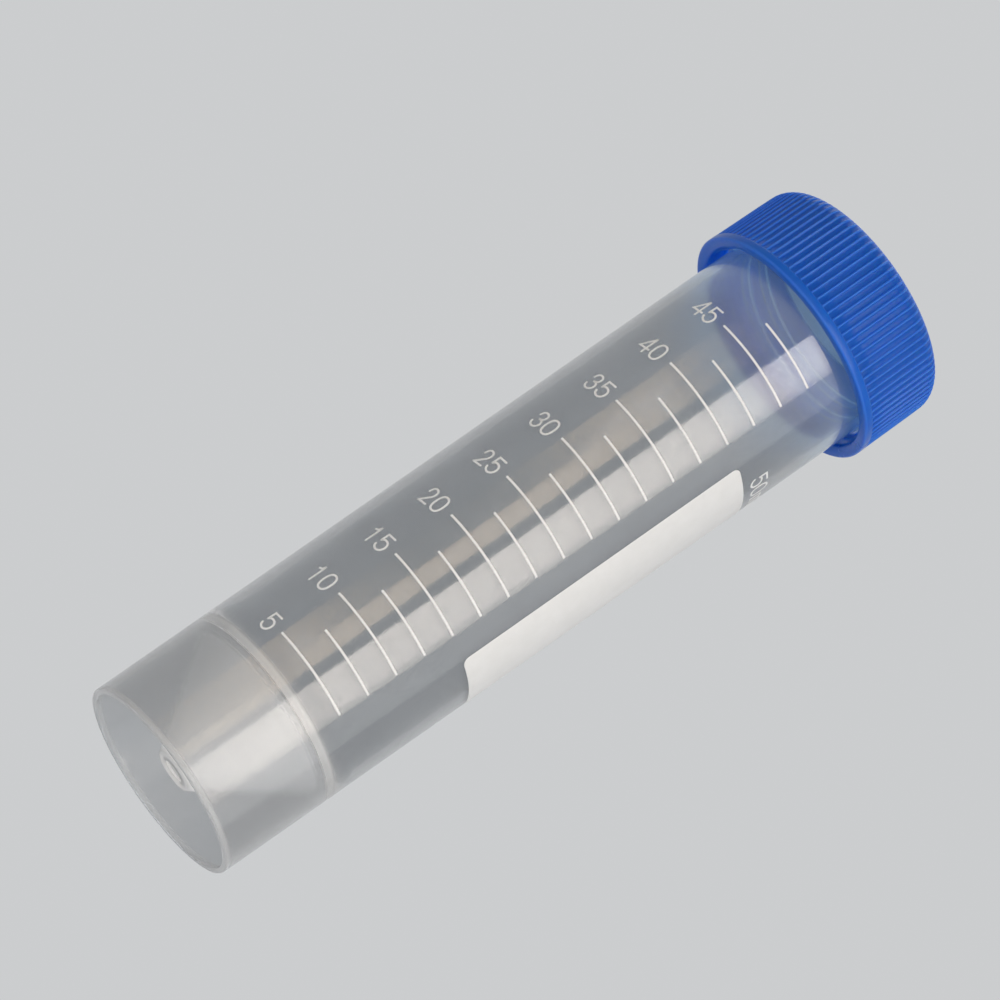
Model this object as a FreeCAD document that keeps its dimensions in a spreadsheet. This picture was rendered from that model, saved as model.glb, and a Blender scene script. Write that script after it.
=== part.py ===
import FreeCAD, Part
import os
import Sketcher

# 50 ml conical tube that stands on its own skirt: a one-piece moulded tube, a screw
# cap with fine grip ribs, and the flat sealing disc that lies inside the cap.
# Millimetres. +Z runs up the tube's axis and the origin is the middle of the skirt's rim.
# The thread is right-handed with two starts, so one full turn lifts the cap by one lead.

DRIVING = [
    # tube
    ("tube_height", 115.0, "rim of the skirt to rim of the mouth"),
    ("barrel_radius", 14.65, "outer radius of the neck and of the top of the barrel"),
    ("draft_angle", 0.25, "degrees, the barrel narrows towards the skirt"),
    ("neck_length", 12.0, "straight part that carries the thread"),
    ("barrel_wall", 1.2, "wall of the barrel and the neck"),
    ("skirt_wall", 0.95, "wall of the skirt"),
    ("skirt_height", 16.6, "where the cone springs from the skirt"),
    ("cone_wall", 1.3, "wall of the cone, square to its face"),
    ("tip_radius", 3.0, "outer radius of the cone's blunt tip"),
    ("tip_lift", 2.3, "clear height under the tip"),
    ("tip_floor", 1.6, "thickness of the tip"),
    ("tip_round", 0.6, "rounding of the tip's edge"),
    ("well_round", 1.5, "rounding at the bottom of the inner cone"),
    ("gate_radius", 1.7, "dimple in the tip where the plastic was fed"),
    ("gate_depth", 0.4, "depth of that dimple"),
    ("rim_round", 0.25, "rounding of the mouth's and the skirt's rims"),
    # thread, shared by the neck and the cap
    ("thread_lead", 6.0, "rise in one full turn"),
    ("thread_starts", 2.0, "number of starts"),
    ("thread_entry", 0.65, "the cap's mouth up to the beginning of its ridges"),
    ("thread_end", 1.15, "the neck's ridges end this far under the rim"),
    ("thread_depth", 0.75, "how far the ridge stands out of the neck"),
    ("thread_root", 1.5, "width of a ridge at its root"),
    ("thread_crest", 0.85, "width of a ridge at its crest"),
    ("thread_sink", 0.4, "how deep a ridge is rooted in its wall"),
    ("thread_clearance", 0.3, "between a ridge's crest and the wall that it faces"),
    # cap
    ("cap_height", 13.65, "from the lip to the top"),
    ("cap_wall", 1.25, "side wall under the ribs"),
    ("cap_top", 1.75, "thickness of the top"),
    ("rib_height", 0.47, "how far the ribs stand out"),
    ("rib_count", 94.0, "grip ribs"),
    ("rib_crest", 0.32, "width of a rib at its crest"),
    ("rib_root", 0.56, "width of a rib at its root"),
    ("cap_round", 2.35, "rounding of the top edge"),
    ("cap_draft", 0.12, "how much narrower the ribs are at the top"),
    ("lip_height", 1.7, "smooth band under the ribs"),
    ("lip_proud", 0.03, "how far the band stands out past the ribs"),
    ("lip_round", 0.3, "rounding of the band's edges"),
    ("mouth_chamfer", 0.4, "lead-in at the cap's mouth"),
    # sealing disc
    ("seal_thickness", 1.0, "thickness of the disc"),
    ("seal_clearance", 0.3, "between the disc's edge and the cap's bore"),
    ("seal_gap", 0.05, "over and under the disc"),
]

FITS = [
    ("neck_start", "Sizes.tube_height - Sizes.neck_length"),
    ("neck_inner", "Sizes.barrel_radius - Sizes.barrel_wall"),
    ("base_radius", "Sizes.barrel_radius - neck_start * tan(Sizes.draft_angle * 1deg)"),
    ("skirt_inner", "base_radius - Sizes.skirt_wall"),
    ("skirt_inner_top", "skirt_inner + Sizes.skirt_height * tan(Sizes.draft_angle * 1deg)"),
    ("cone_slope", "(skirt_inner_top - Sizes.tip_radius) / (Sizes.skirt_height - Sizes.tip_lift)"),
    ("cone_shift", "Sizes.cone_wall * sqrt(1 + cone_slope ^ 2)"),
    ("well_bottom", "Sizes.tip_lift + Sizes.tip_floor"),
    ("well_radius", "Sizes.tip_radius - cone_shift + cone_slope * Sizes.tip_floor"),
    ("well_foot", "neck_inner - neck_start * tan(Sizes.draft_angle * 1deg)"),
    (
        "well_top",
        "(well_foot - Sizes.tip_radius + cone_shift + cone_slope * Sizes.tip_lift)"
        " / (cone_slope - tan(Sizes.draft_angle * 1deg))",
    ),
    ("well_mouth", "well_foot + well_top * tan(Sizes.draft_angle * 1deg)"),
    ("neck_thread_crest", "Sizes.barrel_radius + Sizes.thread_depth"),
    ("cap_bore", "neck_thread_crest + Sizes.thread_clearance"),
    ("cap_thread_crest", "Sizes.barrel_radius + Sizes.thread_clearance"),
    ("rib_floor", "cap_bore + Sizes.cap_wall"),
    ("rib_radius", "rib_floor + Sizes.rib_height"),
    ("lip_radius", "rib_radius + Sizes.lip_proud"),
    ("seal_bottom", "Sizes.tube_height + Sizes.seal_gap"),
    ("ceiling", "seal_bottom + Sizes.seal_thickness + Sizes.seal_gap"),
    ("cap_crown", "ceiling + Sizes.cap_top"),
    ("cap_mouth", "cap_crown - Sizes.cap_height"),
    ("rib_foot", "cap_mouth + Sizes.lip_height"),
    ("cap_thread_start", "cap_mouth + Sizes.thread_entry + Sizes.thread_root / 2"),
    ("neck_thread_start", "cap_thread_start + Sizes.thread_lead / Sizes.thread_starts / 2"),
    ("neck_thread_stop", "Sizes.tube_height - Sizes.thread_end - Sizes.thread_root / 2"),
    ("thread_turns", "(neck_thread_stop - neck_thread_start) / Sizes.thread_lead"),
    ("groove_crest", "2 * pi * rib_radius / Sizes.rib_count - Sizes.rib_crest"),
    ("groove_floor", "2 * pi * rib_floor / Sizes.rib_count - Sizes.rib_root"),
    ("seal_radius", "cap_bore - Sizes.seal_clearance"),
]


def fill_sheet(doc, name, rows):
    """A sheet with one aliased row for each name, its value or formula, and its note."""
    sheet = doc.addObject("Spreadsheet::Sheet", name)
    for number, row in enumerate(rows, start=1):
        value = "=" + row[1] if isinstance(row[1], str) else str(row[1])
        sheet.set(f"A{number}", row[0])
        sheet.set(f"B{number}", value)
        if len(row) > 2:
            sheet.set(f"C{number}", row[2])
        sheet.setAlias(f"B{number}", row[0])
    doc.recompute()
    return sheet


def add_sketch(body, name, role):
    """A sketch on the body's own origin plane with that role."""
    sketch = body.newObject("Sketcher::SketchObject", name)
    support = next(f for f in body.Origin.OriginFeatures if f.Role == role)
    sketch.AttachmentSupport = (support, [""])
    sketch.MapMode = "FlatFace"
    return sketch


def draw_outline(sketch, corners):
    """A closed outline of straight runs, held at its corners. A corner is a pair of expressions,
    (across, up), measured from the origin, and "0" puts it on the axis. The lines are first laid
    on an arch, and the constraints then bring each corner to its place."""
    count = len(corners)
    rough = [FreeCAD.Vector(1 + k, (k + 1) * (count - k), 0) for k in range(count)]
    for k in range(count):
        sketch.addGeometry(Part.LineSegment(rough[k], rough[(k + 1) % count]), False)
    for k in range(count):
        joint = Sketcher.Constraint("Coincident", k, 2, (k + 1) % count, 1)
        sketch.addConstraint(joint)
    for k, corner in enumerate(corners):
        for kind, axis, place in (("DistanceX", -2, corner[0]), ("DistanceY", -1, corner[1])):
            if place == "0":
                sketch.addConstraint(Sketcher.Constraint("PointOnObject", k, 1, axis))
                continue
            held = sketch.addConstraint(Sketcher.Constraint(kind, -1, 1, k, 1, 1.0))
            sketch.renameConstraint(held, f"{kind}{k}")
            sketch.setExpression(f"Constraints.{kind}{k}", place)


def revolve(body, name, corners):
    """A solid of revolution about Z from a half section in the XZ plane."""
    sketch = add_sketch(body, name + "_section", "XZ_Plane")
    draw_outline(sketch, corners)
    feature = body.newObject("PartDesign::Revolution", name)
    feature.Profile = sketch
    feature.ReferenceAxis = (sketch, ["V_Axis"])
    feature.Angle = 360
    return feature


def round_rings(body, name, base, rings, radius):
    """Rounds the circles of base that lie about Z at the given (radius, height) pairs."""
    body.Document.recompute()
    picked = []
    for number, edge in enumerate(base.Shape.Edges, start=1):
        curve = edge.Curve
        if not isinstance(curve, Part.Circle) or not edge.isClosed():
            continue
        for across, up in rings:
            if abs(curve.Radius - across) < 1e-4 and abs(curve.Center.z - up) < 1e-4:
                picked.append(f"Edge{number}")
    fillet = body.newObject("PartDesign::Fillet", name)
    fillet.Base = (base, picked)
    fillet.setExpression("Radius", radius)
    return fillet


def add_pattern(body, name, feature, axis, count):
    """Copies of a feature spread evenly about an axis, as many as the expression says."""
    pattern = body.newObject("PartDesign::PolarPattern", name)
    pattern.Originals = [feature]
    pattern.Axis = axis
    pattern.Angle = 360
    pattern.setExpression("Occurrences", count)
    body.Tip = pattern
    return pattern


def add_thread(body, name, deep, root, crest, start):
    """Ridges that climb about Z. They begin deep in the wall, leave it at root and end at crest."""
    half_root = "Sizes.thread_root / 2"
    half_crest = "Sizes.thread_crest / 2"
    sketch = add_sketch(body, name + "_section", "XZ_Plane")
    draw_outline(
        sketch,
        [
            (deep, f"{start} - {half_root}"),
            (root, f"{start} - {half_root}"),
            (crest, f"{start} - {half_crest}"),
            (crest, f"{start} + {half_crest}"),
            (root, f"{start} + {half_root}"),
            (deep, f"{start} + {half_root}"),
        ],
    )
    ridge = body.newObject("PartDesign::AdditiveHelix", name)
    ridge.Profile = sketch
    ridge.ReferenceAxis = (sketch, ["V_Axis"])
    ridge.Mode = "pitch-turns-angle"
    ridge.setExpression("Pitch", "Sizes.thread_lead")
    ridge.setExpression("Turns", "Fits.thread_turns")
    body.Document.recompute()
    return add_pattern(body, name + "_starts", ridge, (sketch, ["V_Axis"]), "Sizes.thread_starts")


def make_tube(doc, sizes, fits):
    """Skirt, cone, barrel and neck in one moulding, with the thread's ridges on the neck."""
    body = doc.addObject("PartDesign::Body", "tube")
    shell = revolve(
        body,
        "shell",
        [
            ("Fits.base_radius", "0"),
            ("Sizes.barrel_radius", "Fits.neck_start"),
            ("Sizes.barrel_radius", "Sizes.tube_height"),
            ("Fits.neck_inner", "Sizes.tube_height"),
            ("Fits.neck_inner", "Fits.neck_start"),
            ("Fits.well_mouth", "Fits.well_top"),
            ("Fits.well_radius", "Fits.well_bottom"),
            ("0", "Fits.well_bottom"),
            ("0", "Sizes.tip_lift + Sizes.gate_depth"),
            ("Sizes.gate_radius", "Sizes.tip_lift + Sizes.gate_depth"),
            ("Sizes.gate_radius", "Sizes.tip_lift"),
            ("Sizes.tip_radius", "Sizes.tip_lift"),
            ("Fits.skirt_inner_top", "Sizes.skirt_height"),
            ("Fits.skirt_inner", "0"),
        ],
    )
    rims = [
        (sizes.barrel_radius, sizes.tube_height),
        (fits.neck_inner, sizes.tube_height),
        (fits.base_radius, 0),
        (fits.skirt_inner, 0),
    ]
    rimmed = round_rings(body, "rims", shell, rims, "Sizes.rim_round")
    tip = [(sizes.tip_radius, sizes.tip_lift)]
    tipped = round_rings(body, "tip_edge", rimmed, tip, "Sizes.tip_round")
    well = [(fits.well_radius, fits.well_bottom)]
    round_rings(body, "well_edge", tipped, well, "Sizes.well_round")
    add_thread(
        body,
        "neck_thread",
        "Sizes.barrel_radius - Sizes.thread_sink",
        "Sizes.barrel_radius",
        "Fits.neck_thread_crest",
        "Fits.neck_thread_start",
    )
    return body


def make_cap(doc, sizes, fits):
    """A round-edged cap: ribs are what stays between the grooves cut into its side."""
    body = doc.addObject("PartDesign::Body", "cap")
    shell = revolve(
        body,
        "cup",
        [
            ("Fits.cap_bore + Sizes.mouth_chamfer", "Fits.cap_mouth"),
            ("Fits.lip_radius", "Fits.cap_mouth"),
            ("Fits.lip_radius", "Fits.rib_foot"),
            ("Fits.rib_radius", "Fits.rib_foot"),
            ("Fits.rib_radius - Sizes.cap_draft", "Fits.cap_crown"),
            ("0", "Fits.cap_crown"),
            ("0", "Fits.ceiling"),
            ("Fits.cap_bore", "Fits.ceiling"),
            ("Fits.cap_bore", "Fits.cap_mouth + Sizes.mouth_chamfer"),
        ],
    )
    crown = [(fits.rib_radius - sizes.cap_draft, fits.cap_crown)]
    crowned = round_rings(body, "crown_edge", shell, crown, "Sizes.cap_round")
    lip = [(fits.lip_radius, fits.cap_mouth)]
    round_rings(body, "lip_edge", crowned, lip, "Sizes.lip_round")

    sketch = add_sketch(body, "groove_section", "XY_Plane")
    sketch.setExpression("AttachmentOffset.Base.z", "Fits.rib_foot")
    far = "(Fits.lip_radius + 1)"
    half_floor = "Fits.groove_floor / 2"
    half_crest = "Fits.groove_crest / 2"
    draw_outline(
        sketch,
        [
            ("Fits.rib_floor", f"-{half_floor}"),
            ("Fits.rib_radius", f"-{half_crest}"),
            (far, f"-{half_crest}"),
            (far, half_crest),
            ("Fits.rib_radius", half_crest),
            ("Fits.rib_floor", half_floor),
        ],
    )
    groove = body.newObject("PartDesign::Pocket", "groove")
    groove.Profile = sketch
    groove.Reversed = True
    groove.setExpression("Length", "Sizes.cap_height")
    doc.recompute()
    add_pattern(body, "grooves", groove, (sketch, ["N_Axis"]), "Sizes.rib_count")
    doc.recompute()
    add_thread(
        body,
        "cap_thread",
        "Fits.cap_bore + Sizes.thread_sink",
        "Fits.cap_bore",
        "Fits.cap_thread_crest",
        "Fits.cap_thread_start",
    )
    return body


def make_seal(doc):
    """The flat disc that the mouth's rim presses on."""
    disc = doc.addObject("Part::Cylinder", "seal_disc")
    disc.setExpression("Radius", "Fits.seal_radius")
    disc.setExpression("Height", "Sizes.seal_thickness")
    disc.setExpression("Placement.Base.z", "Fits.seal_bottom")
    return disc


def check_document(doc):
    """Stops where a feature has failed."""
    for item in doc.Objects:
        faults = [word for word in item.State if word in ("Invalid", "Error")]
        if faults:
            raise RuntimeError(f"{item.Name} is {faults}")


doc = FreeCAD.newDocument("ConicalTube")
sizes = fill_sheet(doc, "Sizes", DRIVING)
fits = fill_sheet(doc, "Fits", FITS)
pieces = {
    "tube": make_tube(doc, sizes, fits),
    "cap": make_cap(doc, sizes, fits),
    "seal_disc": make_seal(doc),
}
doc.recompute()
check_document(doc)
os.makedirs("parts", exist_ok=True)
for node, piece in pieces.items():
    piece.Label = node
    shape = piece.Shape
    if shape.isNull() or not shape.isValid() or len(shape.Solids) != 1:
        raise RuntimeError(f"{node} is not one sound solid")
    box = shape.BoundBox
    print(f"{node}: {shape.Volume:.1f} mm3, {len(shape.Faces)} faces, z {box.ZMin:.2f} to {box.ZMax:.2f}")
    shape.exportStep(f"parts/{node}.step")
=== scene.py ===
import math
import bmesh
import bpy
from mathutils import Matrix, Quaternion, Vector


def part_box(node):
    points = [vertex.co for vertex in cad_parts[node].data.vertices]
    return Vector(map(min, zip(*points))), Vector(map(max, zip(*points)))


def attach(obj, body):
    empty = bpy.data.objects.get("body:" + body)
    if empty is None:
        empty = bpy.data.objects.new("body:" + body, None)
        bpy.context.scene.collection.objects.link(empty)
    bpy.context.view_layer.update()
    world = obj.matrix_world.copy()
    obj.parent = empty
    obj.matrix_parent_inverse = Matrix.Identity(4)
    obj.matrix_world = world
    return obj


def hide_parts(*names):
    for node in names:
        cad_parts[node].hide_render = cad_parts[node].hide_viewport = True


# 50 ml conical tube that stands on its skirt: the moulded tube, the ribbed screw cap,
# the sealing disc in the cap, and the ink on the wall. Metres, +Z up the tube's axis.
# The printed scale faces -Y.

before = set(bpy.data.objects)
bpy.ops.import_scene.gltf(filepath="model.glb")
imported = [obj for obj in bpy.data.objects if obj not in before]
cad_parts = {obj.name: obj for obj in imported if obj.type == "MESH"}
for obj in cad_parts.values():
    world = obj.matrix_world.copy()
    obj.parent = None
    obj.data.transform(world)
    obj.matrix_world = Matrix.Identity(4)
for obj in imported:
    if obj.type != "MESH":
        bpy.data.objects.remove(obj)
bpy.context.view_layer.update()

mm = 0.001
onAxis = 1e-9  # a ring smaller than this is a single point
fullTurn = 2 * math.pi
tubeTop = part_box("tube")[1].z
capLow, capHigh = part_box("cap")
sealLow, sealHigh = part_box("seal_disc")


def arcRun(centreR, centreZ, radius, fromDeg, toDeg, steps):
    # points (r, z) along an arc, both ends included
    run = []
    for k in range(steps + 1):
        a = math.radians(fromDeg + (toDeg - fromDeg) * k / steps)
        run.append((centreR + radius * math.cos(a), centreZ + radius * math.sin(a)))
    return run


def straightRun(start, end, steps):
    # points (r, z) along a straight stretch, both ends included
    run = []
    for k in range(steps + 1):
        t = k / steps
        run.append((start[0] + (end[0] - start[0]) * t, start[1] + (end[1] - start[1]) * t))
    return run


def evenAngles(count):
    return [fullTurn * k / count for k in range(count)]


def skinRings(bm, first, second):
    # first and second are (angles, verts); quads where both have the same columns,
    # else triangles that step round whichever ring is behind
    anglesA, vertsA = first
    anglesB, vertsB = second
    countA = len(vertsA)
    countB = len(vertsB)
    if countA == countB:
        for k in range(countA):
            bm.faces.new((vertsA[k], vertsA[(k + 1) % countA], vertsB[(k + 1) % countA], vertsB[k]))
        return
    i = 0
    j = 0
    while i < countA or j < countB:
        nextA = anglesA[i + 1] if i + 1 < countA else fullTurn
        nextB = anglesB[j + 1] if j + 1 < countB else fullTurn
        if countB == 1 and i == countA or countA == 1 and j == countB:
            break
        if countB == 1 or j == countB or (i < countA and countA > 1 and nextA <= nextB):
            bm.faces.new((vertsA[i], vertsA[(i + 1) % countA], vertsB[j % countB]))
            i += 1
        else:
            bm.faces.new((vertsA[i % countA], vertsB[(j + 1) % countB], vertsB[j]))
            j += 1


def turnOutline(bm, outline, angles, radiusAt=None, joinTo=None):
    # spins (r, z) points about Z; radiusAt(r, z, angle) may lift or sink the surface.
    # joinTo is an earlier run's last ring. Returns this run's last ring.
    last = joinTo
    for r, z in outline:
        if r < onAxis:
            ring = ([0.0], [bm.verts.new((0, 0, z))])
        else:
            verts = []
            for a in angles:
                reach = radiusAt(r, z, a) if radiusAt else r
                verts.append(bm.verts.new((reach * math.cos(a), reach * math.sin(a), z)))
            ring = (angles, verts)
        if last:
            skinRings(bm, last, ring)
        last = ring
    return last


def finishPiece(bm, name, material, body, sharpDeg):
    # smooth faces with crisp edges, and a seat on its CAD body
    for face in bm.faces:
        face.smooth = True
    for edge in bm.edges:
        if len(edge.link_faces) == 2 and edge.calc_face_angle(0) > math.radians(sharpDeg):
            edge.smooth = False
    mesh = bpy.data.meshes.new(name)
    bm.to_mesh(mesh)
    bm.free()
    mesh.materials.append(material)
    piece = bpy.data.objects.new(name, mesh)
    bpy.context.scene.collection.objects.link(piece)
    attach(piece, body)
    print(f"{name}: {len(mesh.polygons)} faces")
    return piece


# screw thread, as height over a round wall
thread = {
    "lead": 6.0 * mm,
    "starts": 2,
    "turns": 1.0,
    "root": 0.75 * mm,  # half width where the ridge meets its wall
    "crest": 0.425 * mm,  # half width of its top
    "depth": 0.75 * mm,
    "startOnNeck": 107.1 * mm,
    "startInCap": 105.6 * mm,
    "fade": 0.035,  # turns over which an end runs out
}


def ridgeHeight(z, angle, startZ):
    # how far a ridge stands out of its wall at this place
    best = 0.0
    for s in range(thread["starts"]):
        turn = ((angle - fullTurn * s / thread["starts"]) / fullTurn) % 1.0
        for k in (turn - 1, turn, turn + 1):
            if not -thread["fade"] < k < thread["turns"] + thread["fade"]:
                continue
            off = abs(z - startZ - thread["lead"] * k)
            rise = (thread["root"] - off) / (thread["root"] - thread["crest"])
            rise = min(max(rise, 0), 1)
            ends = min(k, thread["turns"] - k) / thread["fade"]
            ends = min(max((ends + 1) / 2, 0), 1)
            best = max(best, rise * ends * ends * (3 - 2 * ends))
    return best * thread["depth"]


def newMaterial(name):
    material = bpy.data.materials.new(name)
    material.use_nodes = True
    nodes = material.node_tree.nodes
    nodes.clear()
    return material, nodes, material.node_tree.links


patchLow = 0.3  # noise below this has the dark tone and the low roughness
patchHigh = 0.7


def patchyTone(nodes, links, look):
    # a tone that drifts softly between two colours over the piece
    coords = nodes.new("ShaderNodeTexCoord")
    noise = nodes.new("ShaderNodeTexNoise")
    noise.inputs["Scale"].default_value = look["patchScale"]
    noise.inputs["Detail"].default_value = look["patchDetail"]
    links.new(coords.outputs["Object"], noise.inputs["Vector"])
    ramp = nodes.new("ShaderNodeValToRGB")
    dark, light = ramp.color_ramp.elements
    dark.position = patchLow
    light.position = patchHigh
    dark.color = (*look["darkTone"], 1)
    light.color = (*look["lightTone"], 1)
    links.new(noise.outputs["Fac"], ramp.inputs["Fac"])
    return coords, noise, ramp.outputs["Color"]


def patchyGloss(nodes, links, noise, look):
    # roughness that drifts with the same patches
    spread = nodes.new("ShaderNodeMapRange")
    spread.inputs["From Min"].default_value = patchLow
    spread.inputs["From Max"].default_value = patchHigh
    spread.inputs["To Min"].default_value = look["gloss"][0]
    spread.inputs["To Max"].default_value = look["gloss"][1]
    links.new(noise.outputs["Fac"], spread.inputs["Value"])
    return spread.outputs["Result"]


def fineBump(nodes, links, coords, look):
    grain = nodes.new("ShaderNodeTexNoise")
    grain.inputs["Scale"].default_value = look["grainScale"]
    grain.inputs["Detail"].default_value = 3.0
    links.new(coords.outputs["Object"], grain.inputs["Vector"])
    bump = nodes.new("ShaderNodeBump")
    bump.inputs["Strength"].default_value = look["grainStrength"]
    bump.inputs["Distance"].default_value = look["grainDepth"]
    links.new(grain.outputs["Fac"], bump.inputs["Height"])
    return bump.outputs["Normal"]


def shareBetween(nodes, links, value, none, full, kind="LINEAR"):
    # 0 where the value is at none, 1 where it is at full
    share = nodes.new("ShaderNodeMapRange")
    share.interpolation_type = kind
    share.inputs["From Min"].default_value = none
    share.inputs["From Max"].default_value = full
    links.new(value, share.inputs["Value"])
    return share.outputs["Result"]


def workOut(nodes, links, operation, *values):
    # one sum, from numbers and other nodes' results
    node = nodes.new("ShaderNodeMath")
    node.operation = operation
    for value, socket in zip(values, node.inputs):
        if isinstance(value, (int, float)):
            socket.default_value = value
        else:
            links.new(value, socket)
    return node.outputs["Value"]


def productOf(nodes, links, first, *others):
    # the shares multiplied together
    for other in others:
        first = workOut(nodes, links, "MULTIPLY", first, other)
    return first


def shareWithin(nodes, links, value, enter, leave):
    # 1 on a stretch and 0 past its two ends, each given as (none, full)
    return productOf(nodes, links, shareBetween(nodes, links, value, *enter),
                     shareBetween(nodes, links, value, *leave))


def blendTo(nodes, links, share, colour, other):
    # from one colour to another by a share
    mix = nodes.new("ShaderNodeMix")
    mix.data_type = "RGBA"
    links.new(share, mix.inputs["Factor"])
    links.new(colour, mix.inputs["A"])
    mix.inputs["B"].default_value = (*other, 1)
    return mix.outputs["Result"]


def reachFromAxis(nodes, links, coords):
    flat = nodes.new("ShaderNodeVectorMath")
    flat.operation = "MULTIPLY"
    flat.inputs[1].default_value = (1, 1, 0)
    links.new(coords.outputs["Object"], flat.inputs[0])
    length = nodes.new("ShaderNodeVectorMath")
    length.operation = "LENGTH"
    links.new(flat.outputs["Vector"], length.inputs[0])
    return length.outputs["Value"]


def mixOf(nodes, links, share, first, second):
    # the first surface where the share is 0, the second where it is 1
    mix = nodes.new("ShaderNodeMixShader")
    links.new(share, mix.inputs["Fac"])
    links.new(first, mix.inputs[1])
    links.new(second, mix.inputs[2])
    return mix.outputs["Shader"]


def passLamps(nodes, links, shader, tint):
    # lamps shine on through the wall, tinted, and everything else meets the shader
    onward = nodes.new("ShaderNodeBsdfTransparent")
    onward.inputs["Color"].default_value = (*tint, 1)
    path = nodes.new("ShaderNodeLightPath")
    return mixOf(nodes, links, path.outputs["Is Shadow Ray"], shader.outputs["BSDF"],
                 onward.outputs["BSDF"])


def showSurface(nodes, links, surface):
    out = nodes.new("ShaderNodeOutputMaterial")
    links.new(surface, out.inputs["Surface"])
    return out


tube = {
    "columns": 256,
    "neckLength": 12.0 * mm,
    "neckRadius": 14.65 * mm,
    "draftDeg": 0.25,
    "wall": 1.2 * mm,
    "skirtWall": 0.95 * mm,
    "skirtHeight": 16.6 * mm,
    "rootEase": (0.3 * mm, 0.12 * mm, 0.5 * mm),  # depths that soften the cone's root
    "coneWall": 1.3 * mm,
    "tipRadius": 3.0 * mm,
    "tipLift": 2.3 * mm,
    "tipFloor": 1.6 * mm,
    "tipRound": 0.6 * mm,
    "wellRound": 1.5 * mm,
    "gateRadius": 1.7 * mm,
    "gateDepth": 0.4 * mm,
    "gateBevel": 0.25 * mm,
    "gateLean": 0.05 * mm,
    "gateBreak": 0.45,  # share of the feed mark's depth where its bevel ends
    "rimRound": 0.25 * mm,
    "ringStep": 0.12 * mm,  # between rings where the thread stands
    # heights of the other rings in mm
    "barrelRings": (1, 4, 8, 12, 15, 17, 19, 30, 45, 60, 75, 90, 98),
    "boreRings": (112, 108),
    "wellRings": (90, 75, 60, 45, 30, 21),
    "sharpDeg": 34,  # edges that turn more than this stay crisp
}
# spans and reaches are pairs: where a share is 0, and where it is 1
plastic = {
    "darkTone": (0.452, 0.475, 0.499),
    "lightTone": (0.502, 0.525, 0.549),
    "patchScale": 60,
    "patchDetail": 4.0,
    "footTone": (0.535, 0.552, 0.570),
    "footSpan": (19.5 * mm, 16.5 * mm),
    "rootTone": (0.375, 0.385, 0.395),  # round the root of the cone, where the plastic is thick
    "rootSpan": ((16.0 * mm, 16.5 * mm), (17.9 * mm, 17.4 * mm)),
    "neckBlueCastTone": (0.55, 0.675, 0.81),  # painted blue cast: the clear neck is tinted blue for the cap's light through the wall
    "neckSpan": (93 * mm, 104 * mm),
    "threadTone": (0.66, 0.67, 0.68),
    "threadSpan": (104.5 * mm, 108 * mm),
    "coneTone": (0.92, 0.925, 0.93),
    "coneReach": (12.8 * mm, 12.4 * mm),
    "coneHaze": 0.75,
    "tipTone": (0.66, 0.665, 0.67),
    "tipReach": (3.6 * mm, 3.1 * mm),
    "tipHaze": -0.25,
    "gateReach": (tube["gateRadius"] + 0.05 * mm, tube["gateRadius"] - 0.1 * mm),
    "gateSpan": (tube["tipLift"] + 0.48 * mm, tube["tipLift"] + 0.44 * mm),
    "gateHaze": -0.5,  # the feed mark under the tip is clearer again
    # painted light lines: the flanks of the screw ridges are made hazy and pale so the ridges show as
    # light lines, their crests stay clear
    "flankReach": ((14.75 * mm, 14.95 * mm), (15.37 * mm, 15.25 * mm)),
    "flankHaze": 0.95,
    "gloss": (0.10, 0.135),  # lowest and highest roughness, as in the other looks
    "footDull": 0.045,  # rougher by this on the skirt
    "neckShine": 0.06,  # smoother by this on the neck
    "ior": 1.49,
    "milk": 100,  # scattering per metre inside the wall
    "milkTone": (0.985, 0.99, 0.995),
    "hazeTop": 20 * mm,
    # share of white haze on the faces, by height up to hazeTop
    "haze": ((0.0, 0.55), (0.03, 0.45), (0.05, 0.12), (0.78, 0.12), (0.81, 0.10), (0.87, 0.08),
             (0.90, 0.06), (0.98, 0.05)),
    "lampPass": (0.93, 0.935, 0.94),
}


def hazeByHeight(nodes, links, height):
    level = nodes.new("ShaderNodeMapRange")
    level.inputs["From Max"].default_value = plastic["hazeTop"]
    links.new(height, level.inputs["Value"])
    haze = nodes.new("ShaderNodeFloatCurve")
    curve = haze.mapping.curves[0]
    curve.points[0].location = plastic["haze"][0]
    curve.points[1].location = (1, plastic["haze"][-1][1])
    for point in plastic["haze"][1:]:
        curve.points.new(*point)
    for point in curve.points:
        point.handle_type = "VECTOR"
    haze.mapping.update()
    links.new(level.outputs["Result"], haze.inputs["Value"])
    return haze.outputs["Value"]


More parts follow.
